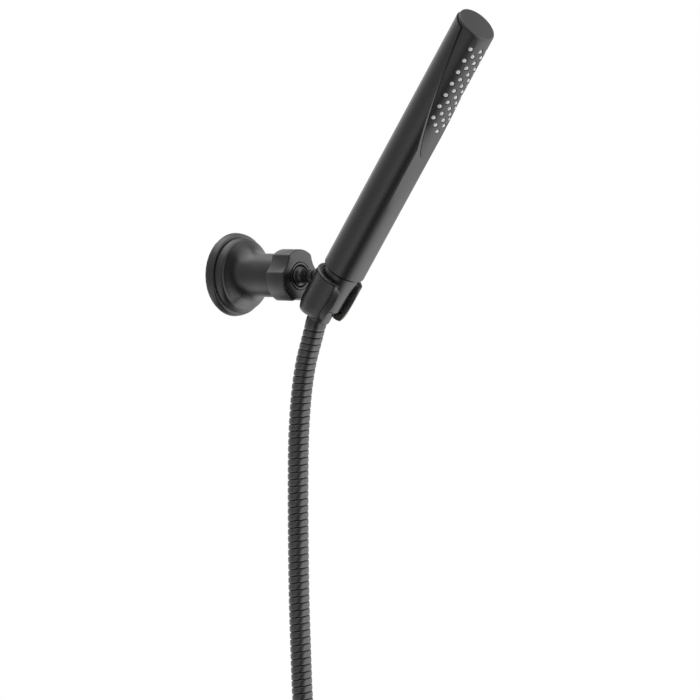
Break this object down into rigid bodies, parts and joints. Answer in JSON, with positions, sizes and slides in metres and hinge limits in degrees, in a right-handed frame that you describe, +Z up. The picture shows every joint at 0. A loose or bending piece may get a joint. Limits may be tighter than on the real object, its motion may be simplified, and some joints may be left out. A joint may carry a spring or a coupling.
{
  "type": "handheld shower head",
  "caption": "slim stick handset resting in a ball-jointed slotted cradle on a round wall flange, with a flexible hose coiled below",
  "frame": {"origin": "centre of the flange's back face, which stands against the wall", "axes": "+Z up, +Y into the wall, the bracket stands out towards -Y, +X to the right when facing the wall"},
  "size_m": [0.1787, 0.2363, 0.7178],
  "materials": {
    "black_coat": "satin black coating over metal",
    "black_hose": "satin black interlocked metal strip over an inner tube",
    "black_plastic": "fine-grained black moulding",
    "nylon": "natural moulded nylon",
    "silicone": "soft white silicone",
    "rubber": "matt black rubber",
    "steel": "stainless steel as machined",
    "brass": "machined brass"
  },
  "bodies": {
    "bracket": {"wall_plate": "steel", "wall_screw_left": "steel", "wall_screw_right": "steel", "wall_gasket": "rubber", "bracket_body": "black_coat", "set_screw": "steel", "rear_ball_seat": "nylon", "seat_ring": "rubber"},
    "clamp": {"clamp_nut": "black_coat", "front_ball_seat": "black_coat"},
    "ball_cup": {"ball_liner": "nylon"},
    "stem": {"ball_stem": "black_coat", "cradle_screw": "steel"},
    "holder": {"cradle": "black_coat", "cradle_liner": "black_plastic"},
    "hose_end": {"hose_ferrule": "black_coat"},
    "handset": {"hose_nut": "black_coat", "nut_washer": "rubber", "filter_screen": "steel", "inlet_adaptor": "brass", "inlet_ring": "rubber", "valve_cage": "nylon", "flow_regulator": "black_plastic", "water_tube": "nylon", "spray_manifold": "nylon", "nozzle_mat": "silicone", "spray_face": "black_plastic", "handle_shell": "black_coat"},
    "poppet": {"valve_poppet": "nylon"},
    "hose_upper": {"hose_top": "black_hose"},
    "hose_hanging": {"hose_drop": "black_hose", "hose_coil": "black_hose", "coil_tie": "rubber", "hose_tail": "black_hose", "connector_ferrule": "black_coat"},
    "connector": {"connector_nut": "black_coat", "connector_washer": "rubber"}
  },
  "joints": [
    {"name": "clamp_turn", "type": "hinge", "parent": "bracket", "child": "clamp", "pos_m": [0, -0.057, 0], "axis": [0, -1, 0], "range_deg": [0, 180]},
    {"name": "cradle_pan", "type": "hinge", "parent": "bracket", "child": "ball_cup", "pos_m": [0, -0.0612, 0], "axis": [0, 0, 1], "range_deg": [-16, 16]},
    {"name": "cradle_tilt", "type": "hinge", "parent": "ball_cup", "child": "stem", "pos_m": [0, -0.0612, 0], "axis": [1, 0, 0], "range_deg": [-18, 14]},
    {"name": "cradle_roll", "type": "hinge", "parent": "stem", "child": "holder", "pos_m": [0, -0.0612, 0], "axis": [0, -1, 0], "range_deg": [-20, 20]},
    {"name": "handset_lift", "type": "slide", "parent": "holder", "child": "hose_end", "axis": [0, -0.5831, 0.8124], "range_m": [0, 0.045]},
    {"name": "handset_turn", "type": "hinge", "parent": "hose_end", "child": "handset", "pos_m": [0, -0.1068, 0.0056], "axis": [0, -0.5831, 0.8124], "continuous": true},
    {"name": "valve_lift", "type": "slide", "parent": "handset", "child": "poppet", "axis": [0, -0.5831, 0.8124], "range_m": [0, 0.002], "stiffness_N_per_m": 40, "springref_m": -0.003},
    {"name": "hose_hang", "type": "hinge", "parent": "hose_end", "child": "hose_upper", "pos_m": [0, -0.08062, -0.03088], "axis": [1, 0, 0], "range_deg": [-14, 18]},
    {"name": "hose_side_swing", "type": "hinge", "parent": "hose_upper", "child": "hose_hanging", "pos_m": [0, -0.0673, -0.0755], "axis": [0, -1, 0], "range_deg": [-20, 20]},
    {"name": "connector_spin", "type": "hinge", "parent": "hose_hanging", "child": "connector", "pos_m": [-0.08, -0.1008, -0.52], "axis": [0, 0, 1], "continuous": true}
  ],
  "couplings": [
    {"joint": "hose_side_swing", "follows": "cradle_roll", "ratio": -1},
    {"joint": "hose_hang", "follows": "cradle_tilt", "ratio": -1}
  ]
}
